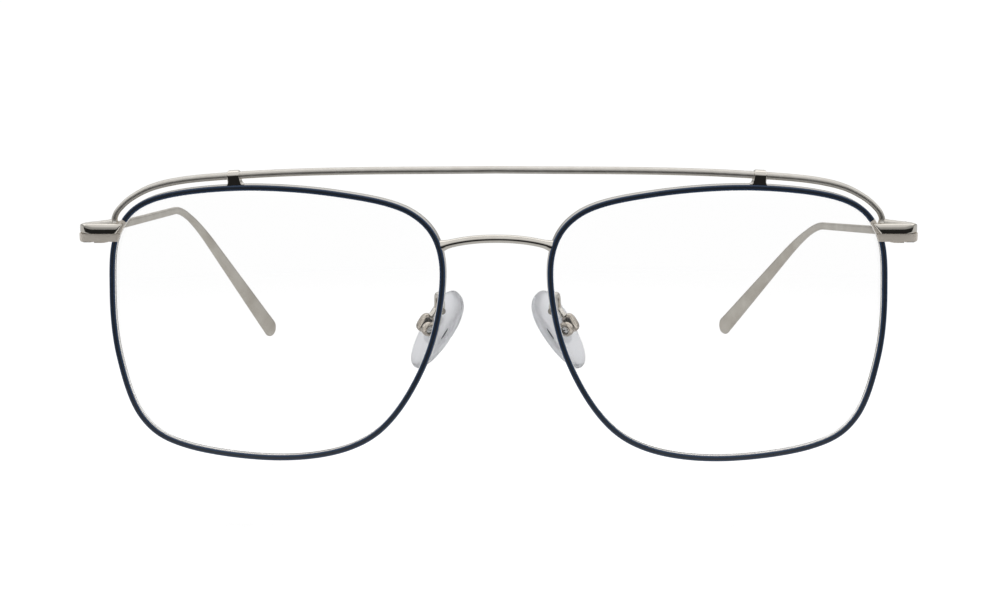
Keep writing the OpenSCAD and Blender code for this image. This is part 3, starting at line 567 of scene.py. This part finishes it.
for side, hand in ((1, "left"), (-1, "right")):
    total = arm_length + drop_length
    tip = tip_wide / 2
    s = np.concatenate([np.linspace(0, butt, 60), np.linspace(butt, arm_length - bend, 50)[1:],
                        arm_length + bend * np.linspace(-1, 1, 60)[1:],
                        np.linspace(arm_length + bend, total - tip, 40)[1:],
                        total - tip + tip * np.sin(np.linspace(0, 1.53, 24))[1:]])
    path = temple_path(s, hand)
    d = unit(temple_path(s + 0.1, hand) - temple_path(np.maximum(0, s - 0.1), hand))
    slim = ((1 - np.cos(np.pi * np.clip(s / butt, 0, 1))) / 2)[:, None]
    square = unit(np.cross(d, [0, 0, 1]))
    across = unit((1 - slim) * [1, 0, 0] + slim * square)
    up = unit((1 - slim) * [0, 0, 1] + slim * np.cross(square, d))
    ending = np.sqrt(np.maximum(0, 1 - (np.maximum(0, s - total + tip) / tip)**2))[:, None]
    spread = np.maximum(0, s - arm_length)[:, None] / drop_length
    tall = butt_tall * (1 - slim) + arm_tall * slim + (tip_wide - arm_tall) * spread
    thick = side_thick * (1 - slim) + arm_thick * slim + (tip_thick - arm_thick) * spread
    a = np.linspace(0, 2 * np.pi, 48, endpoint=False)
    c, e, power = np.cos(a), np.sin(a), 2 / (8 - 5 * slim)
    wide = thick / 2 * (0.4 + 0.6 * ending) * np.sign(c) * abs(c)**power
    high = tall / 2 * ending * np.sign(e) * abs(e)**power
    grid = path[:, None] + wide[..., None] * across[:, None] + high[..., None] * up[:, None]
    skin("temple_" + hand + "_wire", at_rest(grid, side), [satin], "temple_" + hand,
         ["temple_" + hand])

# Pad arms: round wire gooseneck from the back of the eyewire, looped up and back down into the
# top of the pad box, soldered at both ends and left soft enough to bend to the nose.
pad_middle, pad_wire, pad_arm_at = np.array([10.7, 10.2, -2.9]), 1.06, 6.65
pad_fore = np.array([-0.424024, -0.866025, -0.26496])
pad_up = np.array([-0.529919, 0, 0.848048])
pad_out = np.array([-0.734431, 0.5, -0.458924])
pin_back, box_high = 2.1, 2.1


def from_pad(p):
    """From the pad's own frame, along its screw, up its length and out to the nose, to the
    front's."""
    return pad_middle + np.asarray(p) @ np.array([pad_fore, pad_up, pad_out])


foot = in_front(beside(pad_arm_at, rim_outer - 0.2, rim_depth + 0.02))
box_top = from_pad([0, box_high, -pin_back - 0.3])
route = np.array([
    foot, foot + [0.02, 0.9, 0.15], foot + [0.1, 2.2, 0.9], foot + [0.35, 3.7, 1.75],
    foot + [0.95, 5, 1.65], box_top + 1.9 * pad_up + [0.1, 0, 0.1], box_top + 0.95 * pad_up,
    box_top])
t = np.linspace(0, 7, 106)
ends = 1 + 0.25 * np.exp(-(t / 0.35)**1.5) + 0.25 * np.exp(-((7 - t) / 0.3)**1.5)
for side, hand in ((1, "left"), (-1, "right")):
    skin("pad_arm_" + hand + "_wire",
         at_rest(wire(through(route, t), pad_wire / 2 * ends, 20, (1, 0, 0)), side), [plating],
         "front", ["pad_arm_" + hand])

# Pad boxes: small cast cups on the arms, tumbled round, with a raised collar round the screw.
# Screws of turned steel run through them and through the tongue of the core that is moulded into
# each pad, and let the pad rock.
collar = np.array([[0.72, 0.8], [0.72, 1.29], [0.76, 1.36], [1.15, 1.36], [1.4, 1.27],
                   [1.6, 1.08], [1.69, 0.88], [1.68, 0.74], [1.6, 0.62], [1.46, 0.56], [0.95, 0.54]])
j = np.linspace(0, 2 * np.pi, 48, endpoint=False)
collar_rings = np.stack(np.broadcast_arrays(
    collar[:, :1], collar[:, 1:] * np.cos(j), collar[:, 1:] * np.sin(j) - pin_back), -1)
a = np.radians(np.linspace(-82, 82, 31))[:, None]
shrink = np.cos(a)**0.4
cup = np.stack(np.broadcast_arrays(
    -0.34 + shrink * 0.86 * np.sign(np.cos(j)) * abs(np.cos(j))**0.7,
    0.36 + shrink * 1.75 * np.sign(np.sin(j)) * abs(np.sin(j))**0.8,
    -2.58 + 1.17 * np.sin(a)), -1)

# Cast nickel under a thin plating: greyer than the wires.
cast = metal("plated nickel casting", "#C4BDB3", "#A79F94", (0.1, 0.18), 0.9, 0.15, relief=0.003)

# Painted shade in the recesses: a dark, brown, dull metal laid on the collar's bore and on the
# crease between cup and collar, for the shade that falls there.
recess_shade = metal("nickel with painted recess shade", "#5E5850", "#3C3833", (0.35, 0.5), 0.8, 0.1, relief=0.003)
# Quads that get the painted shade: the cup's face under the collar, and the collar's back and its
# bore.
cup_crease_shade = (cup[:-1, :, 0] > 0.4).astype(int)
bore_shade = np.repeat(np.isin(np.arange(len(collar) - 1), (0, 7, 8, 9)), 48).astype(int)

# Core: a clear plate with a tongue, moulded first, round which the pad is then moulded.
core_resin, tree, shader = finish("clear moulded insert", IOR=1.49, Transmission_Weight=0.9,
                                  Base_Color=linear("#E9EAEC"))
place = add(tree, "TexCoord")
cloud = add(tree, "TexNoise", {"Vector": place.outputs["Object"], "Scale": 1000 / 1.5})
blur = add(tree, "MapRange", {"Value": cloud.outputs["Fac"], "To Min": 0.08, "To Max": 0.2})
tree.links.new(blur.outputs["Result"], shader.inputs["Roughness"])

# Slit by the pad's front edge: a thin sliver in the clear pad, coloured grey to dark grey, which is
# painted shade for the dark line the pad shows there.
slit_shade, tree, shader = finish("painted shade in the slit", IOR=1.2, Roughness=0.3,
                                     Transmission_Weight=0.35)
place = add(tree, "TexCoord")
shade_mottle = add(tree, "TexNoise", {"Vector": place.outputs["Object"], "Scale": 1000 / 0.4})
tone = add(tree, "ValToRGB", {"Fac": shade_mottle.outputs["Fac"]})
tone.color_ramp.elements[0].color = linear("#4A4A4E")
tone.color_ramp.elements[1].color = linear("#8E8E92")
tree.links.new(tone.outputs["Color"], shader.inputs["Base Color"])
a = np.radians(np.linspace(-80, 80, 17))[:, None]
slit = np.stack(np.broadcast_arrays(0.1 * np.cos(a) * np.cos(j), 1.15 * np.sin(a),
                                    0.12 * np.cos(a) * np.sin(j)), -1) + [3.75, 1.0, -0.66]

for side, hand in ((1, "left"), (-1, "right")):
    # Painted shade: the dark sliver in the clear pad.
    skin("nose_pad_" + hand + "_slit", at_rest(from_pad(slit), side), [slit_shade],
         "nose_pad_" + hand, ["nose_pad_" + hand])
    skin("pad_box_" + hand + "_cup", at_rest(from_pad(cup), side), [cast, recess_shade],
         "front", ["pad_box_" + hand], cup_crease_shade)
    skin("pad_box_" + hand + "_collar", at_rest(from_pad(collar_rings), side),
         [cast, recess_shade], "front", ["pad_box_" + hand], bore_shade, 50)
    eased("pad_screw_" + hand, steel, 0.05, "front")
    eased("pad_core_" + hand, core_resin, 0.05, "nose_pad_" + hand)

# Nose pads: soft silicone, moulded round the plate into a drop that is domed on the nose side.
pad_long, pad_wide, pad_dome, pad_flat = 15.0, 9.4, 1.7, 0.95

# Clear silicone, moulded: milky where it is thick, with a soft satin skin.
silicone, tree, shader = finish("clear silicone", IOR=1.41, Transmission_Weight=0.7,
                                Base_Color=linear("#F0F1F4"))
place = add(tree, "TexCoord")
skin_grain = add(tree, "TexNoise", {"Vector": place.outputs["Object"], "Scale": 1000 / 0.8,
                                    "Detail": 3.0})
sheen = add(tree, "MapRange", {"Value": skin_grain.outputs["Fac"], "To Min": 0.26,
                               "To Max": 0.36})
tree.links.new(sheen.outputs["Result"], shader.inputs["Roughness"])

a = np.radians(np.linspace(-84, 84, 41))
j = np.linspace(0, 2 * np.pi, 96, endpoint=False)
grow = np.cos(a)[:, None]**0.62
c, d = np.cos(j)[None], np.sin(j)[None]
pad = np.stack(np.broadcast_arrays(
    grow * pad_wide / 2 * (0.88 + 0.12 * d) * np.sign(c) * abs(c)**0.8,
    grow * pad_long / 2 * np.sign(d) * abs(d)**0.88,
    (np.sin(a) * np.where(a < 0, pad_flat, pad_dome))[:, None]), -1)
for side, hand in ((1, "left"), (-1, "right")):
    skin("nose_pad_" + hand + "_drop", at_rest(from_pad(pad), side), [silicone],
         "nose_pad_" + hand, ["nose_pad_" + hand])

# Stage: a plain white table that fades into a white studio, under one wide soft light, with a
# smaller one on each side. Folded temples reach 10.2 mm lower than open ones, so the table lies
# a little further down than that.
table_low, table_half = 0.0105, 3
table = bpy.data.meshes.new("table")
table.from_pydata([(x * table_half, y * table_half, -table_low)
                   for x, y in ((-1, -1), (1, -1), (1, 1), (-1, 1))], [], [(0, 1, 2, 3)])
table_top = bpy.data.objects.new("table", table)
bpy.context.scene.collection.objects.link(table_top)
white, tree, shader = finish("matt white table", Base_Color=linear("#EDEDED"), Roughness=0.9)
shader.inputs["Specular IOR Level"].default_value = 0.0
seen = add(tree, "LightPath")
either = add(tree, "Math", {0: seen.outputs["Is Camera Ray"],
                            1: seen.outputs["Is Transmission Ray"]}, operation="MAXIMUM")
lift = add(tree, "Math", {0: either.outputs["Value"], 1: 0.5}, operation="MULTIPLY")
glow = add(tree, "Emission", {"Color": (1, 1, 1, 1), "Strength": lift.outputs["Value"]})
near_look = add(tree, "AddShader", {0: shader.outputs["BSDF"], 1: glow.outputs["Emission"]})
# Away from the object the table is plain white, so that it has no edge against the studio. It
# is 3 % over white, as the studio is, for what the lenses take from it.
over_white = 1.03
place = add(tree, "TexCoord")
away = add(tree, "VectorMath", {0: place.outputs["Object"]}, operation="LENGTH")
fade = add(tree, "MapRange", {"Value": away.outputs["Value"], "From Min": 0.11,
                              "From Max": 0.26}, interpolation_type="SMOOTHSTEP")
faded = add(tree, "Math", {0: fade.outputs["Result"], 1: either.outputs["Value"]},
            operation="MULTIPLY")
plain = add(tree, "Emission", {"Color": (1, 1, 1, 1), "Strength": over_white})
visible = add(tree, "MixShader", {0: faded.outputs["Value"], 1: near_look.outputs["Shader"],
                                  2: plain.outputs["Emission"]})
# What the metal mirrors: the white table under it, and before it the same table darkened for glossy
# rays only, a painted shade that shows in reflections.
split = add(tree, "SeparateXYZ", {"Vector": place.outputs["Object"]})
aside = add(tree, "Math", {0: split.outputs["X"]}, operation="ABSOLUTE")
near = add(tree, "Math", {0: aside.outputs["Value"], 1: 0.02}, operation="MINIMUM")
ahead_by = add(tree, "Math", {0: split.outputs["Y"], 1: near.outputs["Value"]},
               operation="SUBTRACT")
# Painted shade for reflections: the table's glow falls from 0.62 to 0.02 towards its front.
front = add(tree, "MapRange", {"Value": ahead_by.outputs["Value"], "From Min": -0.1045,
                               "From Max": -0.1487, "To Min": 0.62, "To Max": 0.02},
            interpolation_type="SMOOTHSTEP")
reflected_table_shade = add(tree, "Emission", {"Color": (1, 1, 1, 1), "Strength": front.outputs["Result"]})
through_glass = add(tree, "Math", {0: seen.outputs["Is Glossy Ray"],
                                   1: seen.outputs["Is Transmission Ray"]},
                    operation="SUBTRACT", use_clamp=True)
table_look = add(tree, "MixShader", {0: through_glass.outputs["Value"],
                                     1: visible.outputs["Shader"],
                                     2: reflected_table_shade.outputs["Emission"]})
tree.links.new(table_look.outputs["Shader"], tree.nodes["Material Output"].inputs["Surface"])
table.materials.append(white)

world = bpy.data.worlds.new("studio")
bpy.context.scene.world = world
world.use_nodes = True
tree = world.node_tree
back = tree.nodes["Background"]
seen = add(tree, "LightPath")
way = add(tree, "TexCoord")
split = add(tree, "SeparateXYZ", {"Vector": way.outputs["Generated"]})
wall_light = add(tree, "MapRange", {"Value": split.outputs["Z"], "From Min": 0.05,
                                    "From Max": 0.42, "To Min": 0.36, "To Max": 0.9},
                 interpolation_type="SMOOTHSTEP")
either = add(tree, "Math", {0: seen.outputs["Is Camera Ray"],
                            1: seen.outputs["Is Transmission Ray"]}, operation="MAXIMUM")
room = add(tree, "Mix", {"Factor": seen.outputs["Is Diffuse Ray"],
                         "A": wall_light.outputs["Result"], "B": 0.55}, data_type="FLOAT")
level_of = add(tree, "Mix", {"Factor": either.outputs["Value"], "A": room.outputs["Result"],
                             "B": over_white}, data_type="FLOAT")
tree.links.new(level_of.outputs["Result"], back.inputs["Strength"])
back.inputs["Color"].default_value = (1, 1, 1, 1)


def softbox(name, centre, towards, size, power):
    """Square lamp of a size in metres at the centre, facing a point."""
    lamp = bpy.data.lights.new(name, "AREA")
    lamp.shape, lamp.size, lamp.size_y, lamp.energy = "RECTANGLE", size[0], size[1], power
    made = bpy.data.objects.new(name, lamp)
    bpy.context.scene.collection.objects.link(made)
    made.location = centre
    ray = np.array(towards) - centre
    made.rotation_euler = (math.atan2(math.hypot(ray[0], ray[1]), -ray[2]), 0,
                           math.atan2(-ray[0], ray[1]))
    return made


softbox("overhead softbox", (0, 0.05, 0.7), (0, 0, 0), (0.9, 0.4), 0.75)
softbox("left softbox", (0.6, -0.1, 0.35), (0, 0, 0.02), (0.3, 0.5), 0.25)
softbox("right softbox", (-0.6, -0.1, 0.35), (0, 0, 0.02), (0.3, 0.5), 0.25)

# Camera: a 75 mm lens at about 350 mm, as far round and above as the photograph was taken from.
around, above, roll = (math.radians(a) for a in (1.150, 8.617, 0.142))
target, distance = np.array([0.575, -67.00, 28.46]) / 1000, 0.3495
ahead = np.array([-math.sin(around) * math.cos(above), math.cos(around) * math.cos(above),
                  -math.sin(above)])
right = np.array([math.cos(around), math.sin(around), 0])
above_it = np.cross(right, ahead)
lens_data = bpy.data.cameras.new("camera")
lens_data.lens, lens_data.sensor_width, lens_data.sensor_fit = 75.0, 36.0, "HORIZONTAL"
lens_data.clip_start = 0.01
camera = bpy.data.objects.new("camera", lens_data)
bpy.context.scene.collection.objects.link(camera)
c, s = math.cos(roll), math.sin(roll)
turned = np.stack([right * c - above_it * s, right * s + above_it * c, -ahead], 1)
matrix = np.eye(4)
matrix[:3, :3], matrix[:3, 3] = turned, target - ahead * distance
camera.matrix_world = Matrix(matrix)
bpy.context.scene.camera = camera
bpy.context.scene.view_settings.view_transform = "Standard"
